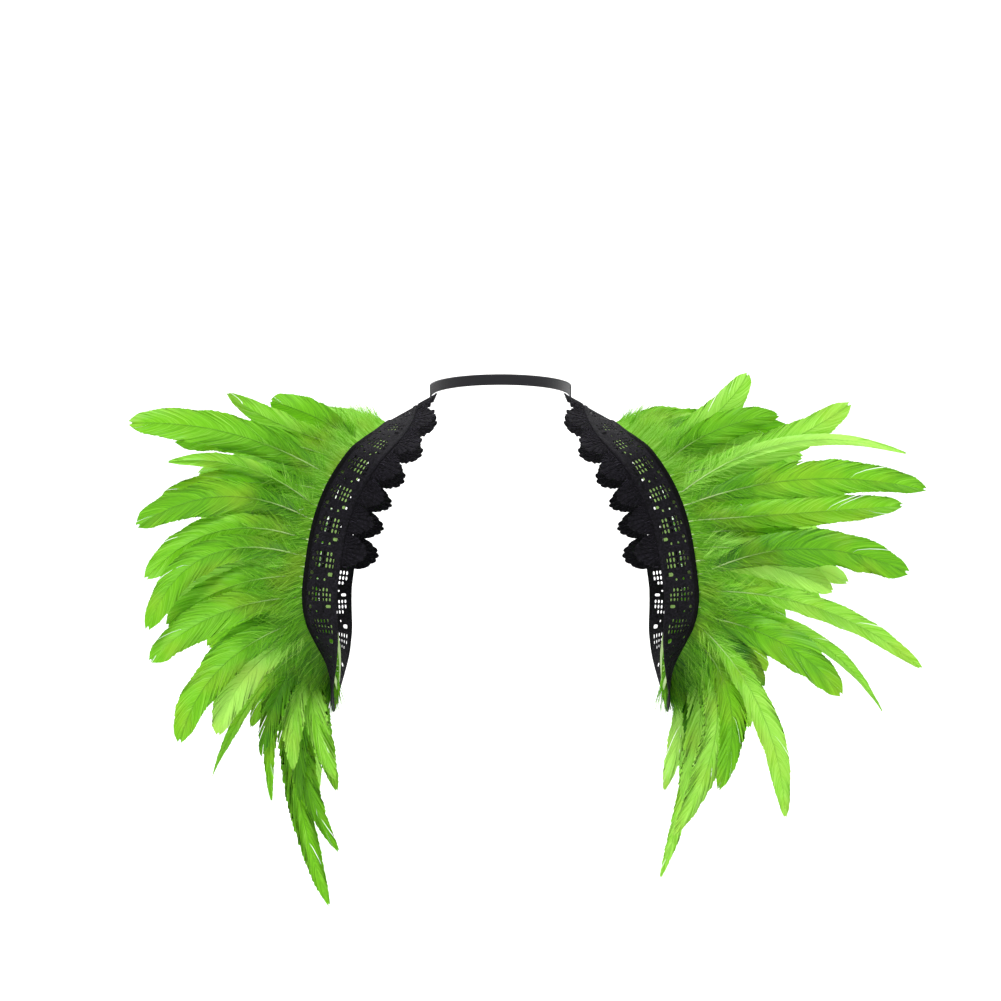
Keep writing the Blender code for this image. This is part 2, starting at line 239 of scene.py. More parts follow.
# A feather's barbs and shaft, in millimetres, degrees and shares of its length or width.
BARB_SPACING = 0.85
BARB_ANGLE_ROOT = 34.0
BARB_ANGLE_TIP = 17.0
BARB_LEAD = 0.26  # a barb ends at most this share of the length past its root
BARB_SWEEP = 1.45
BARBS_IN_CLUMP = 7
VANE_START = 0.03
VANE_END = 0.98
TIP_TWIST = (5.0, 32.0)
TWIST_FROM = 0.4
VANE_CREASE = 0.9
VANE_COLUMNS = (0.0, 0.3, 0.6, 0.85, 1.0)
POINTED_VANE = (
    # along, across
    (0.00, 0.24),
    (0.12, 0.50),
    (0.30, 0.86),
    (0.50, 1.00),
    (0.70, 0.86),
    (0.85, 0.58),
    (0.95, 0.28),
    (1.00, 0.05),
)
BLUNT_VANE = (
    # along, across
    (0.00, 0.24),
    (0.12, 0.50),
    (0.30, 0.84),
    (0.50, 1.00),
    (0.72, 0.94),
    (0.88, 0.78),
    (0.96, 0.52),
    (1.00, 0.10),
)
EDGE_WAVE = 0.10
EDGE_FRAY = 0.04
VANE_RIPPLE = 0.9
CLUMP_LIFT = 0.3
BARB_LIFT = 0.035
LOOSE_FRAY = 0.08
SPLITS = (1, 5)
LOOSE_SPLITS = 5
SPLIT_REACH = 6.0  # barbs on each side that give way to a split
CLOSED_SPLIT = 0.03
WIDE_SPLITS = 0.2
SPLIT_OPENING = (0.4, 1.6)
LOOSE_FROM = 225.0  # under the arm, from this place on, the vanes are loose and frayed
LOOSE_OVER = 40.0
VANE_GLOW = 0.3  # the share of light that a thin vane lets through
SHAFT_ROOT = 1.2
SHAFT_TIP = 0.3
SHAFT_STEPS = 12
QUILL_FADE = 3.0
ROOT_PAINTED_SHADE = 0.42  # painted shade: the vanes are painted this much darker at their roots, where the feathers shade each other
BASE_END = 0.4
FEATHER_SEED = 41

# Down: the strands' points along them and their taper, and how far up a feather it grows.
STRAND_STEPS = (0.0, 0.35, 0.7, 1.0)
STRAND_TAPER = (0.8, 1.0, 0.6, 0.12)
DOWN_END = 0.34
DOWN_LENGTH = (8, 19)
DOWN_ANGLE = (22, 70)
DOWN_WIDTH = (0.25, 0.55)
EDGE_WIDTH = (0.25, 0.6)
EDGE_DEPTH = 5  # the fluff along the tape starts up to this far out from the band's edge
# Painted light and shade: the tone column paints the edge down lighter over the shoulder and darker under
# the arm.
EDGE_DOWN = (
    # place, share of the thickest, length, lift, toward the front, tone (painted lighter over the shoulder,
    # darker under the arm)
    (0, 0.8, 17, 0.6, 0.4, 0.8),
    (60, 1.0, 24, 0.7, 0.5, 0.85),
    (95, 1.0, 22, 0.3, 0.35, 0.75),
    (130, 0.6, 17, 0.0, 0.15, 0.5),
    (190, 0.7, 22, 0.0, 0.15, 0.45),
    (230, 1.0, 36, 0.0, 0.35, 0.4),
    (300, 1.0, 42, 0.0, 0.35, 0.3),
    (331, 0.9, 36, 0.0, 0.1, 0.3),
)

# The studio, in metres: a floor that curves up into a backdrop, and four square soft lights.
SWEEP_SIZE = 6.0
SWEEP_CENTRE = -1.5
SWEEP_RADIUS = 0.8
SWEEP_STEPS = 16
SWEEP_RISE = 3.2
LIGHTS = (
    # name, place, size, the setting that holds its power, what it looks at
    ("key light", (-0.6, -1.7, 1.9), 0.9, "key_power", (0.0, 0.0, -0.1)),
    ("fill light", (1.9, -1.4, 0.3), 1.8, "fill_power", (0.0, 0.0, -0.1)),
    ("back light", (0.3, 1.3, 1.5), 1.2, "fill_power", (0.0, 0.0, -0.1)),
    ("backdrop light", (0.0, 0.9, 1.5), 1.8, "backdrop_power", (0.0, 2.3, 0.0)),
)
WORLD_STRENGTH = 0.42
SENSOR_WIDTH = 36.0


def ribbon_point(ring, share, height):
    """A point of the nape ribbon at a share of its run from the right band to the left."""
    end = ring.on_band(0.0, BAND_WIDTH + NAPE_INSET, EDGING_CROWN + SEAM_GAP)
    end.z += NAPE_WIDTH / 2
    swing = math.pi * (share - 0.5)
    back = math.cos(swing)
    across = end.x * math.sin(swing)
    return Vector((across, end.y + (NAPE_BACK - end.y) * back, end.z + NAPE_RISE * back + height))


def seen_point(across, height, forward):
    """The point that is seen at across and height, brought forward of the shoulder plane."""
    nearer = (SIGHT_DISTANCE - forward) / SIGHT_DISTANCE
    return Vector((across * nearer, -forward, SIGHT_HEIGHT + (height - SIGHT_HEIGHT) * nearer))


def facing(turn, tilt):
    """The direction that cloth faces, turn from the front to the side and tilt up from level."""
    turn, tilt = math.radians(turn), math.radians(tilt)
    return Vector((math.sin(turn) * math.cos(tilt), -math.cos(turn) * math.cos(tilt), math.sin(tilt)))


def smooth_between(values, position):
    """A smooth closed curve through the values, read at a position counted in values."""
    first = math.floor(position)
    share = position - first
    before, start, end, after = (values[(first + step) % len(values)] for step in (-1, 0, 1, 2))
    return 0.5 * (
        2 * start
        + (end - before) * share
        + (2 * before - 5 * start + 4 * end - after) * share**2
        + (3 * start - before - 3 * end + after) * share**3
    )


def read_table(table, place, column):
    """A column of a table whose first column is a place, read between its rows."""
    if place <= table[0][0]:
        return table[0][column]
    for lower, upper in zip(table, table[1:]):
        if place <= upper[0]:
            share = (place - lower[0]) / (upper[0] - lower[0])
            return lower[column] + share * (upper[column] - lower[column])
    return table[-1][column]


class Ring:
    """The left band's arm-side edge as a closed curve, measured along its length from the neck."""

    STEPS = 30

    def __init__(self):
        front = [seen_point(*row[:3]) for row in FRONT_EDGE]
        faces = [facing(*row[3:]) for row in FRONT_EDGE]
        self.edge = front + [Vector((p.x, -p.y * BACK_DEPTH, p.z)) for p in front[-2:0:-1]]
        self.face = faces + [Vector((f.x, -f.y, f.z)) for f in faces[-2:0:-1]]
        count = len(self.edge) * self.STEPS
        self.positions = [step / self.STEPS for step in range(count + 1)]
        points = [smooth_between(self.edge, position) for position in self.positions]
        self.places = [0.0]
        for start, end in zip(points, points[1:]):
            self.places.append(self.places[-1] + (end - start).length)
        self.length = self.places[-1]
        self.underarm = self.places[(len(FRONT_EDGE) - 1) * self.STEPS]

    def position(self, place):
        """The curve position of a place along the edge."""
        place %= self.length
        low, high = 0, len(self.places) - 1
        while high - low > 1:
            middle = (low + high) // 2
            if self.places[middle] <= place:
                low = middle
            else:
                high = middle
        share = (place - self.places[low]) / (self.places[high] - self.places[low])
        return self.positions[low] + share / self.STEPS

    def frame(self, place):
        """The edge point there, the way out to the arm, the way the lace faces and the way along."""
        position = self.position(place)
        point = smooth_between(self.edge, position)
        along = smooth_between(self.edge, position + 0.02) - smooth_between(self.edge, position - 0.02)
        along.normalize()
        face = smooth_between(self.face, position)
        face = (face - along * face.dot(along)).normalized()
        return point, face.cross(along), face, along

    def on_band(self, place, across, height):
        """A point of the band, across from its arm-side edge and height above its wearer's side."""
        point, outward, face, _ = self.frame(place)
        return point - outward * across + face * height


def closed_strip(sections, cyclic=True):
    """Vertices and faces of a strip whose sections are loops of as many points each."""
    size = len(sections[0])
    vertices = [point for section in sections for point in section]
    faces = []
    rows = len(sections) if cyclic else len(sections) - 1
    for row in range(rows):
        here, there = row * size, (row + 1) % len(sections) * size
        for corner in range(size):
            after = (corner + 1) % size
            faces.append((here + corner, here + after, there + after, there + corner))
    if not cyclic:
        last = (len(sections) - 1) * size
        faces.append(tuple(range(size - 1, -1, -1)))
        faces.append(tuple(range(last, last + size)))
    return vertices, faces


def scallop_depth(share):
    """How far a scallop reaches from its sewn edge, at a share of its pitch, with its picots."""
    fan = math.sin(math.pi * share) ** 0.7 if 0 < share < 1 else 0.0
    picot = abs(math.sin(math.pi * PICOTS * share)) * (0.35 + 0.65 * fan)
    return SCALLOP_BASE + SCALLOP_DEPTH * fan + PICOT_DEPTH * picot


def bent_line(ring, place, tip, bow):
    """A cubic line from a quill's end to the tip, whose middle stands bow off the straight line.

    Where the tip lies back across the lace, the feather first stands out from it.
    """
    start = stub_end(ring, place)
    _, outward, face, _ = ring.frame(place)
    chord = tip - start
    up = Vector((-chord.z, 0, chord.x)).normalized()
    off = up * bow * 4 / 3
    across = (1 - chord.normalized().dot(outward)) / 2
    leave = (chord.normalized() * (1 - across) + (face + outward * 0.4) * across).normalized()
    first = start + leave * chord.length / 3 + off * (1 - across)
    return start, first, start + chord * 2 / 3 + off, tip


def line_point(line, share):
    """The point and the direction of a cubic line at a share of it."""
    a, b, c, d = line
    rest = 1 - share
    point = a * rest**3 + b * 3 * rest**2 * share + c * 3 * rest * share**2 + d * share**3
    ahead = (b - a) * 3 * rest**2 + (c - b) * 6 * rest * share + (d - c) * 3 * share**2
    return point, ahead.normalized()


def feather_sections(line, face, width, extra=0.0):
    """Four-sided sections of a feather: one vane edge, the shaft's crown, the other edge, its back."""
    sections = []
    for share, spread in BLADE_OUTLINE:
        point, ahead = line_point(line, share)
        up = (face - ahead * face.dot(ahead)).normalized()
        side = ahead.cross(up)
        full = max(width * spread, QUILL_WIDTH if share < 0.5 else 1.0)
        thick = SHAFT_THICKNESS * (1 - 0.5 * share) / 2 + extra
        drop = CUP * (full - 1.0)
        sections.append(
            [
                point - side * full / 2 - up * drop,
                point + up * thick,
                point + side * full / 2 - up * drop,
                point - up * thick,
            ]
        )
    return sections


def stub_end(ring, place):
    """Where a feather's quill has cleared the band's edge."""
    point, outward, face, _ = ring.frame(place)
    lie = TAPE_GAP + TAPE_THICKNESS / 2
    return point - outward * TAPE_TUCK - face * lie + outward * (TAPE_TUCK + QUILL_STUB)


def mirrored(vector):
    """The same point on the wearer's other side."""
    return Vector((-vector.x, vector.y, vector.z))


def drawn_feather(ring, row):
    """Place, tip, bow, facing and width of one feather of the outline tables."""
    place, across, height, forward, bow, width, roll = row
    tip = seen_point(across, height, forward)
    turned = Matrix.Rotation(math.radians(roll), 3, tip - stub_end(ring, place))
    return place, tip, bow, turned @ Vector((0, -1, 0)), width


def front_place(ring, place):
    """The place of the front that a place mirrors, and whether it is on the front itself."""
    front = place <= ring.underarm
    return place if front else (ring.length - place) * ring.underarm / (ring.length - ring.underarm), front


def fill_feather(ring, place, number):
    """Place, tip, bow, facing and width of a feather that follows the lie of the trim."""
    mapped, front = front_place(ring, place)
    rise = math.radians(read_table(LIE, mapped, 1) + FILL_RISES[number % len(FILL_RISES)])
    lean = read_table(LIE, mapped, 2) + FILL_LEANS[number % len(FILL_LEANS)]
    lean = math.radians(lean - (FRONT_SET_BACK if front else 0))
    length = read_table(LIE, mapped, 3) * FILL_LENGTHS[number % len(FILL_LENGTHS)]
    forward = -1 if front else 1
    flat = length * math.cos(lean)
    reach = Vector((flat * math.cos(rise), forward * length * math.sin(lean), flat * math.sin(rise)))
    _, _, face, _ = ring.frame(place)
    turned = Matrix.Rotation(math.radians(FILL_SHINGLE), 3, reach)
    facing_out = turned @ (face * 0.4 + Vector((0, forward, 0)))
    return place, stub_end(ring, place) + reach, FILL_BOW, facing_out.normalized(), FILL_WIDTH


def lay_feathers(ring, feathers):
    """Each feather on its own line, laid clear of those before it."""
    laid, trees = [], []
    for place, tip, bow, face, width in sorted(feathers, key=lambda feather: feather[0]):
        for narrowed, step in ((share, step) for share in LAY_WIDTHS for step in LAY_STEPS):
            line = bent_line(ring, place, tip + face * step, bow)
            room = feather_sections(line, face, width * narrowed, LAY_CLEARANCE)
            tree = BVHTree.FromPolygons(*closed_strip(room, cyclic=False))
            if not any(tree.overlap(other) for other in trees[-LAY_NEIGHBOURS:]):
                break
        trees.append(tree)
        laid.append(Feather(place, line, face, width * narrowed))
    return laid


def fill_places(ring, drawn):
    """Places for the other feathers: in the widest gaps of the front, then evenly over the back."""
    first, under = FIRST_FILL, ring.underarm + 6
    taken = sorted([first] + [row[0] for row in drawn] + [under])
    for _ in range(FRONT_FILL):
        widest = max(zip(taken, taken[1:]), key=lambda pair: pair[1] - pair[0])
        taken = sorted(taken + [(widest[0] + widest[1]) / 2])
    front = [place for place in taken if place not in {row[0] for row in drawn}]
    pitch = (ring.length - under) / (BACK_FILL + 1)
    return front + [under + pitch * (index + 1) for index in range(BACK_FILL)]


def side_feathers(ring, drawn):
    """All feathers of one side in the order of their places."""
    feathers = [drawn_feather(ring, row) for row in drawn]
    places = fill_places(ring, drawn)
    feathers += [fill_feather(ring, place, number) for number, place in enumerate(places)]
    return lay_feathers(ring, feathers)


def linear(colour_hex):
    """A linear colour from an sRGB hex value."""
    values = [int(colour_hex[start : start + 2], 16) / 255 for start in (0, 2, 4)]
    return tuple(v / 12.92 if v <= 0.04045 else ((v + 0.055) / 1.055) ** 2.4 for v in values)


def smooth_read(table, shares):
    """The second column of a two-column table at the shares, on a smooth curve through its rows."""
    knots = np.array([row[0] for row in table])
    values = np.array([row[1] for row in table])
    slopes = np.gradient(values, knots)
    index = np.clip(np.searchsorted(knots, shares) - 1, 0, len(knots) - 2)
    step = knots[index + 1] - knots[index]
    t = (shares - knots[index]) / step
    return (
        values[index] * (2 * t**3 - 3 * t**2 + 1)
        + slopes[index] * step * (t**3 - 2 * t**2 + t)
        + values[index + 1] * (3 * t**2 - 2 * t**3)
        + slopes[index + 1] * step * (t**3 - t**2)
    )


def unit(vectors):
    """The vectors of an array at length one."""
    return vectors / np.maximum(np.linalg.norm(vectors, axis=-1, keepdims=True), 1e-9)


class Feather:
    """One laid feather: its line from the quill's end to the tip and the way its vane faces."""

    def __init__(self, place, line, face, width):
        self.place, self.line, self.width = place, line, width
        self.face = np.array(face)
        self.corners = [np.array(point) for point in line]
        shares = np.linspace(0, 1, 25)
        steps = np.diff(self.points(shares), axis=0)
        self.length = float(np.linalg.norm(steps, axis=1).sum())
        self.twist = self.loose = 0.0

    def points(self, shares):
        """Points of the line at the shares."""
        a, b, c, d = self.corners
        s = np.asarray(shares)[..., None]
        r = 1 - s
        return a * r**3 + b * 3 * r**2 * s + c * 3 * r * s**2 + d * s**3

    def frames(self, shares):
        """The way ahead, the way across and the way up from the vane at the shares."""
        a, b, c, d = self.corners
        s = np.asarray(shares)[..., None]
        r = 1 - s
        ahead = unit((b - a) * r**2 + (c - b) * 2 * r * s + (d - c) * s**2)
        up = unit(self.face - ahead * (ahead @ self.face)[..., None])
        side = np.cross(ahead, up)
        turn = self.twist * np.clip((s - TWIST_FROM) / (1 - TWIST_FROM), 0, 1) ** 1.5
        across = side * np.cos(turn) - up * np.sin(turn)
        return ahead, across, up * np.cos(turn) + side * np.sin(turn)

    def spot(self, shares, across, height):
        """Points at shares of the line, across from the shaft and height above the vane."""
        _, side, up = self.frames(shares)
        return self.points(shares) + side * across[..., None] + up * height[..., None]


class Pile:
    """The points, faces and per-point values of many small things that make one mesh."""

    def __init__(self):
        self.points, self.faces, self.tones, self.pales, self.grains = [], [], [], [], []
        self.count = 0

    def add(self, points, faces, tone, pale, grain):
        """Add a small thing: its faces count from its own first point."""
        size = len(points)
        self.points.append(points)
        self.faces.append(np.asarray(faces) + self.count)
        self.tones.append(np.broadcast_to(tone, size))
        self.pales.append(np.broadcast_to(pale, size))
        self.grains.append(grain)
        self.count += size

    def make(self, name, material, flip):
        """One mesh object of the whole pile, mirrored to the wearer's other side where asked."""
        points = np.concatenate(self.points) * MM
        faces = np.concatenate(self.faces)
        if flip:
            points[:, 0] *= -1
            faces = faces[:, ::-1]
        mesh = bpy.data.meshes.new(name)
        mesh.from_pydata(points.tolist(), [], faces.tolist())
        for key, values in (("tone", self.tones), ("pale", self.pales)):
            attribute = mesh.attributes.new(key, "FLOAT", "POINT")
            attribute.data.foreach_set("value", np.concatenate(values).astype(np.float32))
        corner_points = np.empty(len(mesh.loops), dtype=np.int32)
        mesh.loops.foreach_get("vertex_index", corner_points)
        grain = np.concatenate(self.grains).astype(np.float32)[corner_points]
        mesh.uv_layers.new(name="grain").data.foreach_set("uv", grain.ravel())
        mesh.materials.append(material)
        mesh.shade_smooth()
        made = bpy.data.objects.new(name, mesh)
        bpy.context.collection.objects.link(made)
        return made


def add_shaft(pile, feather, root, tone):
    """A feather's shaft, a tapered four-sided rod from its quill in the tape to near its tip."""
    shares = np.concatenate([[0.0], np.linspace(0, 1, SHAFT_STEPS) ** 1.2 * 0.985])
    centres = feather.points(shares)
    centres[0] = root
    _, side, up = feather.frames(shares)
    half = (SHAFT_ROOT + (SHAFT_TIP - SHAFT_ROOT) * shares)[:, None] / 2
    corners = [centres + up * half, centres + side * half, centres - up * half, centres - side * half]
    points = np.stack(corners, axis=1).reshape(-1, 3)
    faces = []
    for row in range(len(shares) - 1):
        for corner in range(4):
            here, after = row * 4 + corner, row * 4 + (corner + 1) % 4
            faces.append((here, here + 4, after + 4, after))
    pale = np.repeat(np.clip(1.0 - shares * QUILL_FADE, 0.02, 1), 4)
    grain = np.stack([np.repeat(shares * feather.length, 4), np.zeros(len(points))], axis=1) * MM
    pile.add(points, faces, tone, pale, grain)


def split_shifts(rng, count, number):
    """How far each barb's end is pushed along the vane by the splits, and where they are."""
    shifts = np.zeros(count)
    index = np.arange(count)
    splits = rng.choice(np.arange(6, count - 3), size=number, replace=False)
    for split in splits:
        opening = rng.uniform(*SPLIT_OPENING) if rng.random() < WIDE_SPLITS else CLOSED_SPLIT
        ahead = index >= split
        shifts += np.where(ahead, np.exp(-(index - split) / SPLIT_REACH), 0) * opening * 0.5
        shifts -= np.where(ahead, 0, np.exp(-(split - 1 - index) / SPLIT_REACH)) * opening * 0.5
    return shifts, set(splits.tolist())


def add_vane(pile, feather, hand, tone, rng):
    """One side of a feather's vane: barbs that lie together but for a few splits."""
    half, length = feather.width / 2, feather.length
    count = max(20, round(length / BARB_SPACING))
    number = int(rng.integers(*SPLITS) + LOOSE_SPLITS * feather.loose)
    shifts, splits = split_shifts(rng, count, number)
    roots = np.linspace(VANE_START, VANE_END, count)
    roots[sorted(splits)] = roots[[split - 1 for split in sorted(splits)]]
    angles = np.radians(BARB_ANGLE_ROOT + (BARB_ANGLE_TIP - BARB_ANGLE_ROOT) * np.sqrt(roots))
    lead = np.minimum(BARB_LEAD, half * 0.9 / np.tan(angles) / length)
    ends = np.clip(roots + lead * (1 - roots**4), 0, 1)
    blunt = np.clip((feather.width - 14) / 12, 0, 1) * rng.uniform(0.6, 1.0) * (1 - feather.loose)
    pointed = smooth_read(POINTED_VANE, ends)
    spread = pointed * (1 - blunt) + smooth_read(BLUNT_VANE, ends) * blunt
    ragged = np.interp(ends, np.linspace(0, 1, 14), rng.uniform(-1, 1, 14)) * EDGE_WAVE
    ragged += rng.uniform(-1, 1, count) * (EDGE_FRAY + LOOSE_FRAY * feather.loose) - 0.2 * feather.loose
    reach = half * spread * (1 + ragged) * (1 + hand * rng.uniform(-0.06, 0.06))
    out = np.array(VANE_COLUMNS)
    pulled = (shifts / length * (1 - roots**4))[:, None] * out**3
    shares = np.clip(roots[:, None] + (ends - roots)[:, None] * out**BARB_SWEEP + pulled, 0, 1)
    across = reach[:, None] * out**0.88
    clumps = rng.uniform(-1, 1, count // BARBS_IN_CLUMP + 1)
    clump = np.repeat(clumps, BARBS_IN_CLUMP)[:count]
    ripple = np.sin(shares * rng.uniform(7, 13) + rng.uniform(0, 6.3)) * VANE_RIPPLE
    crease = np.sin(shares * rng.uniform(4, 8) + rng.uniform(0, 6.3)) * VANE_CREASE
    height = -CUP * 2 * across + ripple * out**2 + crease * np.sin(math.pi * out)
    height += (clump * CLUMP_LIFT + rng.uniform(-1, 1, count) * BARB_LIFT)[:, None] * out**0.7
    points = feather.spot(shares, across * hand, height).reshape(-1, 3)
    columns = len(out)
    faces = []
    for row in range(count - 1):
        if row + 1 in splits:
            continue
        for column in range(columns - 1):
            here = row * columns + column
            quad = (here, here + 1, here + columns + 1, here + columns)
            faces.append(quad if hand < 0 else quad[::-1])
    # Painted shade: each vane is painted darker towards its root, where the feathers crowd and shade each
    # other.
    shade = ROOT_PAINTED_SHADE * np.clip(1 - shares / BASE_END, 0, 1)
    tones = np.clip(tone + clump[:, None] * 0.06 - shade, 0, 1).ravel()
    pale = np.clip(0.16 - shares * 0.9, 0, 1).ravel()
    grain = np.stack([np.repeat(roots * length, columns), np.tile(out * half, count)], axis=1) * MM
    pile.add(points, faces, tones, pale, grain)


def add_strands(pile, roots, ways, lengths, curls, widths, tones):
    """Fine tapering strands of down that leave their roots along ways and curl aside."""
    steps = np.array(STRAND_STEPS)[None, :, None]
    reach = lengths[:, None, None]
    centres = roots[:, None] + ways[:, None] * reach * steps + curls[:, None] * reach * steps**2
    sides = unit(np.cross(ways, curls + np.array((0.1, 0.9, 0.2))))[:, None] * widths[:, None, None] / 2
    taper = np.array(STRAND_TAPER)[None, :, None]
    rails = np.stack([centres + sides * taper, centres - sides * taper], axis=2)
    points = rails.reshape(-1, 3)
    size = len(STRAND_STEPS)
    firsts = np.arange(len(roots))[:, None] * size * 2 + np.arange(size - 1)[None, :] * 2
    faces = np.stack([firsts, firsts + 1, firsts + 3, firsts + 2], axis=-1).reshape(-1, 4)
    grain = np.stack([np.repeat(lengths, size * 2), np.tile(np.arange(size * 2), len(roots))], axis=1)
    pile.add(points, faces, np.repeat(tones, size * 2), 0.0, grain * MM)


def feather_down(pile, feather, tone, rng, number):
    """The fluff on both sides of a feather's shaft, above its quill."""
    shares = rng.uniform(0, 1, number) ** 1.4 * DOWN_END
    ahead, side, up = feather.frames(shares)
    angle = np.radians(rng.uniform(*DOWN_ANGLE, number))[:, None]
    hand = np.where(rng.random(number) < 0.5, -1.0, 1.0)[:, None]
    rise = rng.uniform(-0.45, 0.45, number)[:, None]
    ways = unit(ahead * np.cos(angle) + side * hand * np.sin(angle) + up * rise)
    lengths = rng.uniform(*DOWN_LENGTH, number) * (1.1 - shares)
    curls = ahead * rng.uniform(0.1, 0.6, (number, 1)) + rng.normal(0, 0.16, (number, 3))
    tones = np.clip(tone + rng.uniform(-0.25, 0.2, number), 0, 1)
    widths = rng.uniform(*DOWN_WIDTH, number)
    add_strands(pile, feather.points(shares), ways, lengths, curls, widths, tones)


def lie_way(ring, place):
    """The way the feathers lie at a place along the edge, and the place of the front that it mirrors."""
    mapped, front = front_place(ring, place)
    rise = math.radians(read_table(LIE, mapped, 1))
    lean = math.radians(read_table(LIE, mapped, 2) - (FRONT_SET_BACK / 2 if front else 0))
    forward = -1 if front else 1
    flat = math.cos(lean)
    return Vector((flat * math.cos(rise), forward * math.sin(lean), flat * math.sin(rise))), mapped


def edge_down(pile, ring, rng, number):
    """The fluff that stands out all along the tape, longest and thickest under the arm."""
    places = []
    while len(places) < number:
        place = rng.uniform(0, ring.length)
        _, mapped = lie_way(ring, place)
        if rng.random() < read_table(EDGE_DOWN, mapped, 1):
            places.append(place)
    roots, ways, lengths, tones = [], [], [], []
    for place in places:
        way, mapped = lie_way(ring, place)
        point, outward, face, along = ring.frame(place)
        depth = TAPE_GAP + rng.uniform(0, 1) * TAPE_THICKNESS
        roots.append(point + outward * rng.uniform(0, EDGE_DEPTH) - face * depth)
        # Painted light and shade: the table's tone makes this fluff lighter over the shoulder and darker
        # under the arm, with a random spread.
        tones.append(read_table(EDGE_DOWN, mapped, 5) + rng.uniform(-0.3, 0.3))
        lift = Vector((0, 0, read_table(EDGE_DOWN, mapped, 3)))
        toward = face * (read_table(EDGE_DOWN, mapped, 4) + rng.normal(0, 0.16))
        ways.append(way + outward * 0.35 + along * rng.normal(0, 0.22) + lift + toward)
        lengths.append(read_table(EDGE_DOWN, mapped, 2) * rng.uniform(0.4, 1.0))
    curls = rng.normal(0, 0.14, (number, 3))
    tones = np.clip(tones, 0, 1)
    widths = rng.uniform(*EDGE_WIDTH, number)
    add_strands(pile, np.array(roots), unit(np.array(ways)), np.array(lengths), curls, widths, tones)


def deselect_all():
    """Leave nothing selected, so that the next operator acts on its own piece only."""
    if bpy.context.object and bpy.context.object.mode != "OBJECT":
        bpy.ops.object.mode_set(mode="OBJECT")
    bpy.ops.object.select_all(action="DESELECT")


def add_grid(name, columns, rows):
    """A new grid of unit size in the given columns and rows, as the only selected piece."""
    deselect_all()
    bpy.ops.mesh.primitive_grid_add(x_subdivisions=columns, y_subdivisions=rows, size=1.0)
    piece = bpy.context.object
    piece.name = name
    piece.data.name = name
    return piece


def set_lines(piece, columns, rows, place_of):
    """Move each point of a unit grid to the place that its column and row are given."""
    for vertex in piece.data.vertices:
        column = round((vertex.co.x + 0.5) * columns)
        row = round((vertex.co.y + 0.5) * rows)
        vertex.co = place_of(column, row)


def repeat_along(piece, number, pitch):
    """Copy a motif in a row, each copy sewn to the next."""
    array = piece.modifiers.new("repeat", "ARRAY")
    array.count = number
    array.use_relative_offset = False
    array.use_constant_offset = True
    array.constant_offset_displace = (0.0, pitch, 0.0)
    array.use_merge_vertices = True
    array.merge_threshold = 0.02
    bpy.ops.object.modifier_apply(modifier=array.name)


def map_cloth(piece):
    """Lay the flat piece out on its own map, a unit for each metre."""
    layer = piece.data.uv_layers.get("cloth") or piece.data.uv_layers.new(name="cloth")
    for loop in piece.data.loops:
        point = piece.data.vertices[loop.vertex_index].co
        layer.data[loop.index].uv = (point.x * MM, point.y * MM)


def wrap_on_ring(piece, ring, flip, start=0.0):
    """Bend a flat piece round the arm: x is across the band, y along its edge and z its height."""
    for vertex in piece.data.vertices:
        point = ring.on_band(vertex.co.y + start, vertex.co.x, vertex.co.z)
        vertex.co = (mirrored(point) if flip else point) * MM


def finish_cloth(piece, thickness, material, smooth_levels=0):
    """Close the seam, turn the faces out, and give the cloth its rounded wall."""
    bpy.ops.object.mode_set(mode="EDIT")
    bpy.ops.mesh.select_all(action="SELECT")
    bpy.ops.mesh.remove_doubles(threshold=0.00002)
    bpy.ops.mesh.normals_make_consistent(inside=False)
    bpy.ops.object.mode_set(mode="OBJECT")
    if smooth_levels:
        soften = piece.modifiers.new("soften", "SUBSURF")
        soften.levels = soften.render_levels = smooth_levels
        bpy.ops.object.modifier_apply(modifier=soften.name)
    wall = piece.modifiers.new("wall", "SOLIDIFY")
    wall.thickness = thickness * MM
    wall.offset = 0.0
    bpy.ops.object.modifier_apply(modifier=wall.name)
    piece.data.materials.clear()
    piece.data.materials.append(material)
    bpy.ops.object.shade_smooth()


def band_height(across, place):
    """The lace's height over its width: a round cord, a ladder of threads and a plaited braid."""
    if across <= CORD_EDGE:
        return 0.9 + 0.9 * math.sin(math.pi * across / CORD_EDGE)
    if across >= BRAID_EDGE:
        inner = across - BRAID_EDGE
        plait = 0.15 * math.sin(2 * math.pi * place / PLAIT_PITCH + inner * 1.8)
        return 1.2 + 0.5 * math.sin(math.pi * inner / (BAND_WIDTH - BRAID_EDGE)) + plait
    along = place / LACE_PITCH % 1 * LACE_PITCH
    middle = BAND_WIDTH / 2
    past = along - LEAF_START
    leaf = math.sin(math.pi * past / (LACE_PITCH - LEAF_START)) if past > 0 else 0.0
    vein = math.cos(math.pi * (across - middle + past * 0.25) / LACE_WAVE)
    return 0.8 + 0.55 * leaf * vein**2 + 0.16 * math.cos(2 * math.pi * (across - middle / 2) / LACE_WAVE)


def petal_height(across, place):
    """The height of a scallop's relief: petals that fan from its sewn edge, with a raised rim."""
    share = place / SCALLOP_PITCH % 1
    depth = scallop_depth(share)
    fan = 0.5 + (share - 0.5) * (SCALLOP_DEPTH + 11) / (across + 7)
    petal = abs(math.sin(math.pi * PICOTS * fan))
    rim = max(0.0, 1 - abs(depth - across - 1.1) / 1.1)
    sewn = max(0.0, 1 - across / 2.0)
    return 0.35 + 1.35 * petal * min(1, across / 3) + 0.4 * rim - 0.15 * sewn


def laid_length(ring, across, start, end):
    """How long a line is that runs at that distance from the band's arm-side edge."""
    steps = 400
    points = [ring.on_band(start + (end - start) * step / steps, across, 0.0) for step in range(steps + 1)]
    return sum((after - before).length for before, after in zip(points, points[1:]))


def is_open(across, along):
    """Whether a cell of the lace motif is cut through."""
    cuts = list(LACE_EYES)
    for start, end, columns in LACE_SLITS:
        cuts += [(start, end, *SLIT_COLUMNS[column]) for column in columns]
    return any(start < along < end and low < across < high for start, end, low, high in cuts)


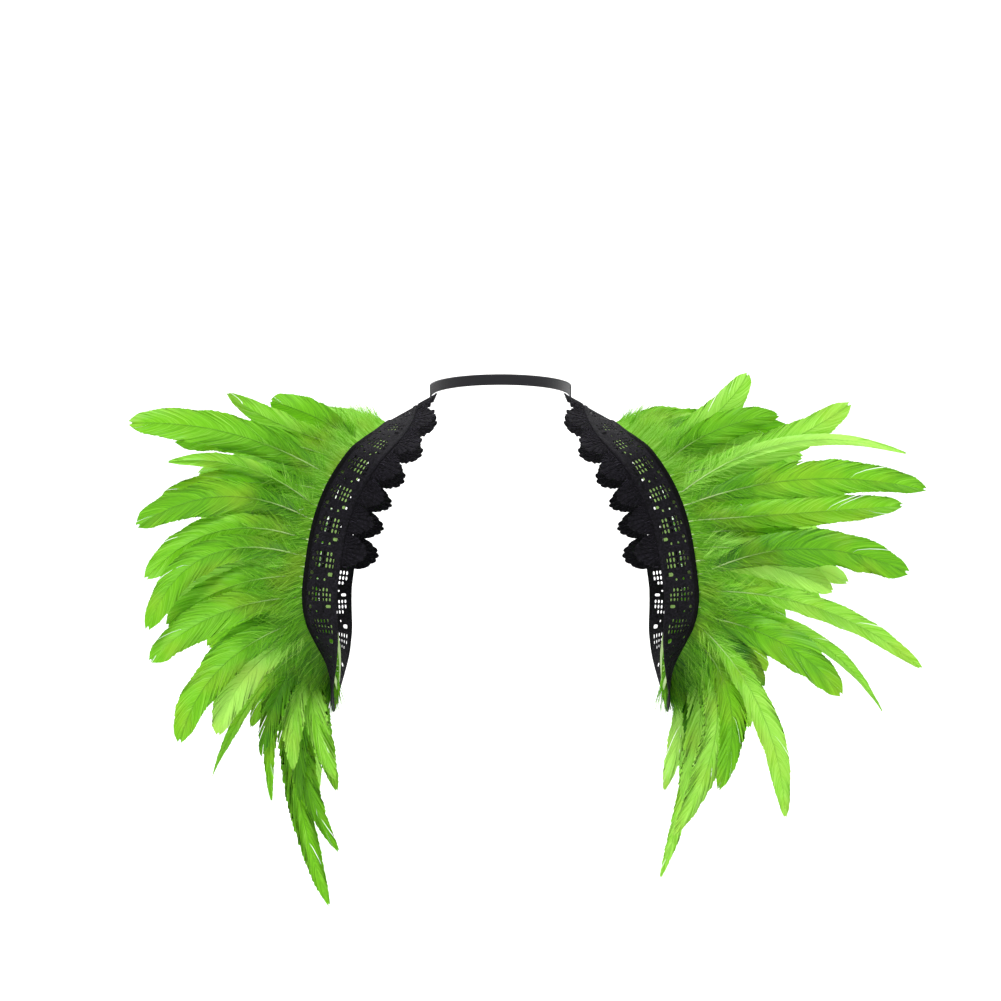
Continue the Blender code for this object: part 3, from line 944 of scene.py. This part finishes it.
def add_node(tree, kind, inputs=None, **settings):
    """Add a node with its settings. An input is a value, or the output that feeds it."""
    made = tree.nodes.new(kind)
    for key, value in settings.items():
        setattr(made, key, value)
    for socket, value in (inputs or {}).items():
        if isinstance(value, bpy.types.NodeSocket):
            tree.links.new(value, made.inputs[socket])
        else:
            made.inputs[socket].default_value = value
    return made


def new_material(name, roughness, specular, sheen=0.0):
    """A material with its shader's own sockets set, ready for its pattern."""
    made = bpy.data.materials.new(name)
    made.use_nodes = True
    shader = made.node_tree.nodes["Principled BSDF"]
    shader.inputs["Roughness"].default_value = roughness
    shader.inputs["Specular IOR Level"].default_value = specular
    shader.inputs["Sheen Weight"].default_value = sheen
    shader.inputs["Sheen Roughness"].default_value = 0.4
    return made, made.node_tree, shader


def dyed_feather(settings):
    """Cock feather dyed lime: satin barbs with fine streaks, no two feathers quite the same tone."""
    made, tree, shader = new_material("dyed cock feather", 0.45, 0.3)
    # The tone attribute holds each feather's own random tone, plus painted shade at the vanes' roots and
    # painted light and shade on the edge down.
    tone = add_node(tree, "ShaderNodeAttribute", attribute_name="tone")
    pale = add_node(tree, "ShaderNodeAttribute", attribute_name="pale")
    grain = add_node(tree, "ShaderNodeUVMap", uv_map="grain")
    # Barbs are about 0.4 mm apart on the real feather and are drawn at 1.2 mm, so that they show.
    streaks = add_node(
        tree, "ShaderNodeMapping", {"Vector": grain.outputs["UV"], "Scale": (830.0, 40.0, 1.0)}
    )
    fine = add_node(
        tree, "ShaderNodeTexNoise", {"Vector": streaks.outputs["Vector"], "Scale": 1.0, "Detail": 2.0}
    )
    place = add_node(tree, "ShaderNodeTexCoord")
    patches = add_node(
        tree, "ShaderNodeTexNoise", {"Vector": place.outputs["Object"], "Scale": 34.0, "Detail": 1.0}
    )
    streaked = add_node(
        tree, "ShaderNodeMath", {0: fine.outputs["Fac"], 1: 1.0, 2: -0.5}, operation="MULTIPLY_ADD"
    )
    mixed = add_node(
        tree, "ShaderNodeMath", {0: tone.outputs["Fac"], 1: streaked.outputs[0]}, operation="ADD"
    )
    ramp = add_node(tree, "ShaderNodeValToRGB", {"Fac": mixed.outputs[0]})
    stops = ramp.color_ramp.elements
    stops[0].position, stops[0].color = 0.0, (*settings.deep_colour, 1)
    stops[1].position, stops[1].color = 1.0, (*settings.light_colour, 1)
    stops.new(0.5).color = (*settings.main_colour, 1)
    warm = add_node(
        tree, "ShaderNodeMapRange",
        {"Value": patches.outputs["Fac"], "From Min": 0.5, "From Max": 0.75, "To Max": 0.4},
    )
    yellowed = add_node(
        tree, "ShaderNodeMix", {"Factor": warm.outputs["Result"], 6: ramp.outputs["Color"],
                                7: (*settings.warm_colour, 1)}, data_type="RGBA",
    )
    quilled = add_node(
        tree, "ShaderNodeMix", {"Factor": pale.outputs["Fac"], 6: yellowed.outputs[2],
                                7: (*settings.quill_colour, 1)}, data_type="RGBA",
    )
    tree.links.new(quilled.outputs[2], shader.inputs["Base Color"])
    bump = add_node(
        tree, "ShaderNodeBump", {"Height": fine.outputs["Fac"], "Strength": 0.3, "Distance": 0.0004}
    )
    tree.links.new(bump.outputs["Normal"], shader.inputs["Normal"])
    glow = add_node(
        tree, "ShaderNodeBsdfTranslucent", {"Color": quilled.outputs[2], "Normal": bump.outputs["Normal"]}
    )
    vane = add_node(
        tree, "ShaderNodeMixShader", {0: VANE_GLOW, 1: shader.outputs["BSDF"], 2: glow.outputs["BSDF"]}
    )
    tree.links.new(vane.outputs["Shader"], tree.nodes["Material Output"].inputs["Surface"])
    return made


def guipure_lace(settings):
    """Black embroidered lace of viscose thread: dull black, with soft grey highlights painted on its raised
    stitches.

    The bands and the edgings share one material, so it is made once.
    """
    if LACE_NAME in bpy.data.materials:
        return bpy.data.materials[LACE_NAME]
    made, tree, shader = new_material(LACE_NAME, 0.75, 0.12)
    cloth = add_node(tree, "ShaderNodeUVMap", uv_map="cloth")
    # Satin stitches are 0.4 mm apart on such lace and are drawn at 0.8 mm, so that they show.
    stitches = add_node(
        tree, "ShaderNodeTexWave",
        {
            "Vector": cloth.outputs["UV"], "Scale": 390.0, "Distortion": 9.0, "Detail": 1.0,
            "Detail Scale": 0.5,
        },
        bands_direction="Y",
    )
    knots = add_node(
        tree, "ShaderNodeTexVoronoi", {"Vector": cloth.outputs["UV"], "Scale": 620.0, "Randomness": 0.9},
        feature="SMOOTH_F1",
    )
    height = add_node(
        tree, "ShaderNodeMath", {0: stitches.outputs["Fac"], 1: knots.outputs["Distance"]},
        operation="SUBTRACT",
    )
    # Painted highlight: the raised stitches are painted lighter than the thread around them.
    lit = add_node(
        tree, "ShaderNodeMapRange", {"Value": height.outputs[0], "From Min": 0.0, "From Max": 0.75}
    )
    across = add_node(tree, "ShaderNodeSeparateXYZ", {0: cloth.outputs["UV"]})
    # The outer cord gets no painted highlights: it is smooth, and darker than the ladder.
    inside = add_node(
        tree, "ShaderNodeMapRange", {"Value": across.outputs["X"], "From Min": 0.0026, "From Max": 0.004}
    )
    stitch_highlight_mask = add_node(
        tree, "ShaderNodeMath", {0: lit.outputs["Result"], 1: inside.outputs["Result"]}, operation="MULTIPLY"
    )
    colour = add_node(
        tree, "ShaderNodeMix", {"Factor": stitch_highlight_mask.outputs[0], 6: (*settings.thread_colour, 1),
                                7: (*settings.thread_painted_highlight, 1)}, data_type="RGBA",
    )
    tree.links.new(colour.outputs[2], shader.inputs["Base Color"])
    bump = add_node(
        tree, "ShaderNodeBump", {"Height": height.outputs[0], "Strength": 0.9, "Distance": 0.0012}
    )
    tree.links.new(bump.outputs["Normal"], shader.inputs["Normal"])
    return made


def woven_ribbon(name, colour, rib_scale, roughness):
    """Narrow woven ribbon with ribs across its width, which catch the light as fine lines: a bump, and
    painted shade in the troughs between the ribs.
    """
    made, tree, shader = new_material(name, roughness, 0.3, 0.2)
    cloth = add_node(tree, "ShaderNodeUVMap", uv_map="cloth")
    ribs = add_node(
        tree, "ShaderNodeTexWave", {"Vector": cloth.outputs["UV"], "Scale": rib_scale, "Distortion": 0.4},
        bands_direction="Y",
    )
    # Painted shade: the troughs between the ribs are painted this darker colour.
    rib_trough_shade = tuple(value * 0.6 for value in colour)
    shade = add_node(
        tree, "ShaderNodeMix", {"Factor": ribs.outputs["Fac"], 6: (*rib_trough_shade, 1), 7: (*colour, 1)},
        data_type="RGBA",
    )
    tree.links.new(shade.outputs[2], shader.inputs["Base Color"])
    bump = add_node(
        tree, "ShaderNodeBump", {"Height": ribs.outputs["Fac"], "Strength": 0.6, "Distance": 0.0003}
    )
    tree.links.new(bump.outputs["Normal"], shader.inputs["Normal"])
    return made


def dye(name, description, colour_hex):
    """A colour that a user may change."""
    return FloatVectorProperty(
        name=name, description=description, subtype="COLOR", size=3, min=0, max=1, default=linear(colour_hex)
    )


class FeatherSettings(bpy.types.PropertyGroup):
    """Sizes and colours of the feathers and their down."""

    main_colour: dye("Dye", "Colour of most of the vanes", "70BC14")
    # Painted light and shade run along these dyes too: the darkened roots and the down under the arm go
    # towards the deep dye, the down over the shoulder towards the light one.
    light_colour: dye("Light dye", "Colour of the lightest barbs", "AEE863")
    deep_colour: dye("Deep dye", "Colour of the deepest barbs", "2C6D02")
    warm_colour: dye("Yellowed dye", "Colour of the yellower patches", "9CBB2C")
    quill_colour: dye("Quill", "Colour of the bare quills", "D6EDA9")
    down_strands: IntProperty(
        name="Down", description="Strands of down on each feather", default=200, min=0, max=300
    )
    edge_strands: IntProperty(
        name="Edge down", description="Strands of down along each tape", default=12000, min=0, max=15000
    )


class LaceSettings(bpy.types.PropertyGroup):
    """Sizes and colours of the lace, the tapes and the ribbon."""

    thread_colour: dye("Thread", "Colour of the lace thread", "030304")
    # Painted highlight: the colour painted on the raised stitches in place of light on them.
    thread_painted_highlight: dye("Thread light", "Colour of the raised stitches", "322F3A")
    tape_colour: dye("Tape", "Colour of the tape that holds the quills", "B9DF84")
    ribbon_colour: dye("Ribbon", "Colour of the nape ribbon", "1B1A20")
    thread_wall: FloatProperty(
        name="Lace thickness", description="Thickness of the lace", subtype="DISTANCE", unit="LENGTH",
        default=0.0007, min=0.0004, max=0.0012, precision=4,
    )


class StudioSettings(bpy.types.PropertyGroup):
    """The floor, the lights and the camera."""

    floor_height: FloatProperty(
        name="Floor", description="Height of the studio floor", subtype="DISTANCE", unit="LENGTH",
        default=-0.66, min=-2.0, max=-0.45,
    )
    key_power: FloatProperty(
        name="Key light", description="Power of the main light in watts", default=74.0, min=0.0, max=500.0
    )
    fill_power: FloatProperty(
        name="Fill light", description="Power of the softer lights in watts", default=9.0, min=0.0, max=500.0
    )
    backdrop_power: FloatProperty(
        name="Backdrop light", description="Power of the light on the backdrop in watts",
        default=40.0, min=0.0, max=500.0,
    )


def side_layout():
    """Each side's name, its feather table and whether it is mirrored."""
    return ("left", LEFT_FEATHERS, False), ("right", RIGHT_FEATHERS, True)


class TRIM_OT_add_feathers(bpy.types.Operator):
    """Add the long feathers of both sides and their down, each feather on its own line"""

    bl_idname = "trim.add_feathers"
    bl_label = "Feathers and down"

    def execute(self, context):
        settings = context.scene.feather_settings
        material = dyed_feather(settings)
        ring = Ring()
        for number, (side, drawn, flip) in enumerate(side_layout()):
            rng = np.random.default_rng(FEATHER_SEED + number)
            vanes, down = Pile(), Pile()
            for feather in side_feathers(ring, drawn):
                tone = float(np.clip(rng.normal(0.55, 0.24), 0.05, 0.98))
                feather.twist = math.radians(rng.uniform(*TIP_TWIST)) * rng.choice((-1, 1))
                mapped, _ = front_place(ring, feather.place)
                feather.loose = min(max((mapped - LOOSE_FROM) / LOOSE_OVER, 0), 1)
                point, outward, face, _ = ring.frame(feather.place)
                root = point - outward * (TAPE_TUCK + TAPE_WIDTH * 0.7) - face * (TAPE_GAP + 0.1)
                add_shaft(vanes, feather, np.array(root), tone)
                for hand in (-1, 1):
                    add_vane(vanes, feather, hand, tone, rng)
                feather_down(down, feather, tone, rng, settings.down_strands)
            edge_down(down, ring, rng, settings.edge_strands)
            for name, pile in ((f"{side}_feathers", vanes), (f"{side}_down", down)):
                piece = pile.make(name, material, flip)
                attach(piece, "root")
                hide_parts(f"{side}_feather_fringe")
        return {"FINISHED"}


class TRIM_OT_add_tapes(bpy.types.Operator):
    """Add the narrow tape that holds the quills of each side"""

    bl_idname = "trim.add_tapes"
    bl_label = "Feather tapes"

    def execute(self, context):
        settings = context.scene.lace_settings
        # Tape ribs are 0.5 mm apart and are drawn at 1 mm, so that they show.
        material = woven_ribbon("dyed cotton tape", settings.tape_colour, 300.0, 0.8)
        ring = Ring()
        columns, rows = TAPE_CELLS
        lie = -TAPE_GAP - TAPE_THICKNESS * 0.6

        def tape_place(column, row):
            return TAPE_TUCK + TAPE_WIDTH * column / columns, ring.length * row / rows, lie

        for side, _, flip in side_layout():
            piece = add_grid(f"{side}_feather_tape", columns, rows)
            set_lines(piece, columns, rows, tape_place)
            map_cloth(piece)
            wrap_on_ring(piece, ring, flip)
            finish_cloth(piece, TAPE_WALL, material)
            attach(piece, "root")
        return {"FINISHED"}


class TRIM_OT_add_lace_bands(bpy.types.Operator):
    """Add the openwork lace band round each arm"""

    bl_idname = "trim.add_lace_bands"
    bl_label = "Lace bands"

    def execute(self, context):
        settings = context.scene.lace_settings
        material = guipure_lace(settings)
        ring = Ring()
        columns, rows = len(LACE_ACROSS) - 1, len(LACE_ALONG)
        pitch = ring.length / LACE_MOTIFS
        lines = [*LACE_ALONG, pitch]
        length = laid_length(ring, BAND_WIDTH / 2, 0.0, ring.length)
        for side, _, flip in side_layout():
            piece = add_grid(f"{side}_openwork_lace", columns, rows)
            set_lines(piece, columns, rows, lambda column, row: (LACE_ACROSS[column], lines[row], 0.0))
            self.cut_openwork(piece)
            repeat_along(piece, LACE_MOTIFS, pitch)
            for vertex in piece.data.vertices:
                vertex.co.z = band_height(vertex.co.x, vertex.co.y)
            map_cloth(piece)
            wrap_on_ring(piece, ring, flip)
            finish_cloth(piece, settings.thread_wall / MM, material, smooth_levels=1)
            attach(piece, "root")
            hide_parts(f"{side}_lace_band")
        return {"FINISHED"}

    def cut_openwork(self, piece):
        """Cut the slits and the round eyes out of one motif."""
        for part in (piece.data.vertices, piece.data.edges):
            part.foreach_set("select", [False] * len(part))
        bpy.context.tool_settings.mesh_select_mode = (False, False, True)
        for polygon in piece.data.polygons:
            polygon.select = is_open(polygon.center.x, polygon.center.y)
        bpy.ops.object.mode_set(mode="EDIT")
        bpy.ops.mesh.delete(type="FACE")
        bpy.ops.object.mode_set(mode="OBJECT")


class TRIM_OT_add_edgings(bpy.types.Operator):
    """Add the scalloped lace on the neck side of each band"""

    bl_idname = "trim.add_edgings"
    bl_label = "Scalloped edgings"

    def execute(self, context):
        settings = context.scene.lace_settings
        material = guipure_lace(settings)
        ring = Ring()
        columns, rows = EDGING_CELLS
        half = SCALLOPS * SCALLOP_PITCH / 2
        length = laid_length(ring, BAND_WIDTH, -half, half)

        def scallop_place(column, row):
            across = scallop_depth(row / rows) * column / columns
            along = row / rows * SCALLOP_PITCH
            return across, along, petal_height(across, along)

        for side, _, flip in side_layout():
            piece = add_grid(f"{side}_scalloped_lace", columns, rows)
            set_lines(piece, columns, rows, scallop_place)
            repeat_along(piece, SCALLOPS, SCALLOP_PITCH)
            for vertex in piece.data.vertices:
                vertex.co.x += BAND_WIDTH - LACE_TUCK
            map_cloth(piece)
            wrap_on_ring(piece, ring, flip, start=-half)
            finish_cloth(piece, settings.thread_wall / MM, material)
            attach(piece, "root")
            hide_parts(f"{side}_scalloped_edging")
        return {"FINISHED"}


class TRIM_OT_add_nape_ribbon(bpy.types.Operator):
    """Add the ribbon that joins the two bands behind the neck"""

    bl_idname = "trim.add_nape_ribbon"
    bl_label = "Nape ribbon"

    def execute(self, context):
        settings = context.scene.lace_settings
        # Grosgrain ribs are 0.7 mm apart and are drawn at 1 mm, so that they show.
        material = woven_ribbon("grosgrain ribbon", settings.ribbon_colour, 300.0, 0.65)
        ring = Ring()
        columns, rows = RIBBON_CELLS
        piece = add_grid("nape_ribbon_cloth", columns, rows)
        points = [ribbon_point(ring, row / rows, 0.0) for row in range(rows + 1)]
        length = sum((after - before).length for before, after in zip(points, points[1:]))
        set_lines(
            piece, columns, rows,
            lambda column, row: (NAPE_WIDTH * (column / columns - 0.5), length * row / rows, 0.0),
        )
        map_cloth(piece)
        for vertex in piece.data.vertices:
            share = vertex.co.y / length
            sewn = RIBBON_TAB * abs(2 * share - 1) ** 12 if vertex.co.x < 0 else 0.0
            vertex.co = ribbon_point(ring, share, vertex.co.x - sewn) * MM
        finish_cloth(piece, RIBBON_WALL, material)
        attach(piece, "root")
        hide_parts("nape_ribbon")
        return {"FINISHED"}


class TRIM_OT_add_studio(bpy.types.Operator):
    """Add the pale floor with its sweep, the soft lights and the camera"""

    bl_idname = "trim.add_studio"
    bl_label = "Studio"

    def execute(self, context):
        settings = context.scene.studio_settings
        self.add_sweep(settings.floor_height)
        for name, place, size, power, target in LIGHTS:
            self.add_light(name, place, size, getattr(settings, power), target)
        world = bpy.data.worlds.new("soft studio")
        world.use_nodes = True
        background = world.node_tree.nodes["Background"]
        background.inputs["Color"].default_value = (1.0, 1.0, 1.0, 1.0)
        background.inputs["Strength"].default_value = WORLD_STRENGTH
        context.scene.world = world
        context.scene.view_settings.view_transform = "Standard"
        sight = bpy.data.cameras.new("camera")
        sight.sensor_width = SENSOR_WIDTH
        sight.lens = SENSOR_WIDTH * SIGHT_DISTANCE / (FRAME_PIXELS * PIXEL_SIZE)
        camera = bpy.data.objects.new("camera", sight)
        camera.location = (0.0, -SIGHT_DISTANCE * MM, SIGHT_HEIGHT * MM)
        camera.rotation_euler = (math.radians(90), 0.0, 0.0)
        context.collection.objects.link(camera)
        context.scene.camera = camera
        return {"FINISHED"}

    def add_sweep(self, floor_height):
        """A floor that curves up behind the part into a plain backdrop."""
        deselect_all()
        bpy.ops.mesh.primitive_plane_add(size=SWEEP_SIZE, location=(0.0, SWEEP_CENTRE, floor_height))
        sweep = bpy.context.object
        sweep.name = "studio_sweep"
        bpy.ops.object.transform_apply(location=True, rotation=False, scale=False)
        back = max(vertex.co.y for vertex in sweep.data.vertices)
        for edge in sweep.data.edges:
            edge.select = all(sweep.data.vertices[index].co.y > back - 0.01 for index in edge.vertices)
        for vertex in sweep.data.vertices:
            vertex.select = vertex.co.y > back - 0.01
        for polygon in sweep.data.polygons:
            polygon.select = False
        bpy.context.tool_settings.mesh_select_mode = (False, True, False)
        bpy.ops.object.mode_set(mode="EDIT")
        bpy.ops.mesh.spin(
            steps=SWEEP_STEPS, angle=math.radians(90), center=(0.0, back, floor_height + SWEEP_RADIUS),
            axis=(-1.0, 0.0, 0.0),
        )
        bpy.ops.mesh.extrude_region_move(TRANSFORM_OT_translate={"value": (0.0, 0.0, SWEEP_RISE)})
        bpy.ops.object.mode_set(mode="OBJECT")
        bpy.ops.object.shade_smooth()
        made, tree, shader = new_material("matt white backdrop paper", 0.9, 0.2)
        place = add_node(tree, "ShaderNodeTexCoord")
        cloud = add_node(tree, "ShaderNodeTexNoise", {"Vector": place.outputs["Object"], "Scale": 1.5})
        colour = add_node(
            tree, "ShaderNodeMix", {"Factor": cloud.outputs["Fac"], 6: (*linear("F6F6F6"), 1),
                                    7: (*linear("FBFBFB"), 1)}, data_type="RGBA",
        )
        tree.links.new(colour.outputs[2], shader.inputs["Base Color"])
        sweep.data.materials.append(made)

    def add_light(self, name, place, size, power, target):
        """A square soft light that looks at its target."""
        lamp = bpy.data.lights.new(name, "AREA")
        lamp.size = size
        lamp.energy = power
        light = bpy.data.objects.new(name, lamp)
        light.location = place
        light.rotation_euler = (Vector(target) - Vector(place)).to_track_quat("-Z", "Y").to_euler()
        bpy.context.collection.objects.link(light)


class TRIM_PT_panel(bpy.types.Panel):
    """The pieces of the feathered bands, in the order in which they are made"""

    bl_idname = "TRIM_PT_panel"
    bl_label = "Feathered armhole bands"
    bl_space_type = "VIEW_3D"
    bl_region_type = "UI"
    bl_category = "Trim"

    def draw(self, context):
        for group in GROUPS:
            box = self.layout.box()
            for key in GROUPS[group].__annotations__:
                box.prop(getattr(context.scene, group), key)
        for operator in OPERATORS:
            self.layout.operator(operator.bl_idname)


GROUPS = {
    "feather_settings": FeatherSettings,
    "lace_settings": LaceSettings,
    "studio_settings": StudioSettings,
}
OPERATORS = (
    TRIM_OT_add_studio,
    TRIM_OT_add_tapes,
    TRIM_OT_add_lace_bands,
    TRIM_OT_add_edgings,
    TRIM_OT_add_nape_ribbon,
    TRIM_OT_add_feathers,
)


def register():
    """Make the settings, the operators and the panel known."""
    for made in (*GROUPS.values(), *OPERATORS, TRIM_PT_panel):
        bpy.utils.register_class(made)
    for name, group in GROUPS.items():
        setattr(bpy.types.Scene, name, PointerProperty(type=group))


def unregister():
    """Take them away again."""
    for name in GROUPS:
        delattr(bpy.types.Scene, name)
    for made in (TRIM_PT_panel, *reversed(OPERATORS), *reversed(GROUPS.values())):
        bpy.utils.unregister_class(made)


def main():
    """Make every piece in order."""
    register()
    for operator in OPERATORS:
        group, name = operator.bl_idname.split(".")
        getattr(getattr(bpy.ops, group), name)()


if __name__ == "__main__":
    main()
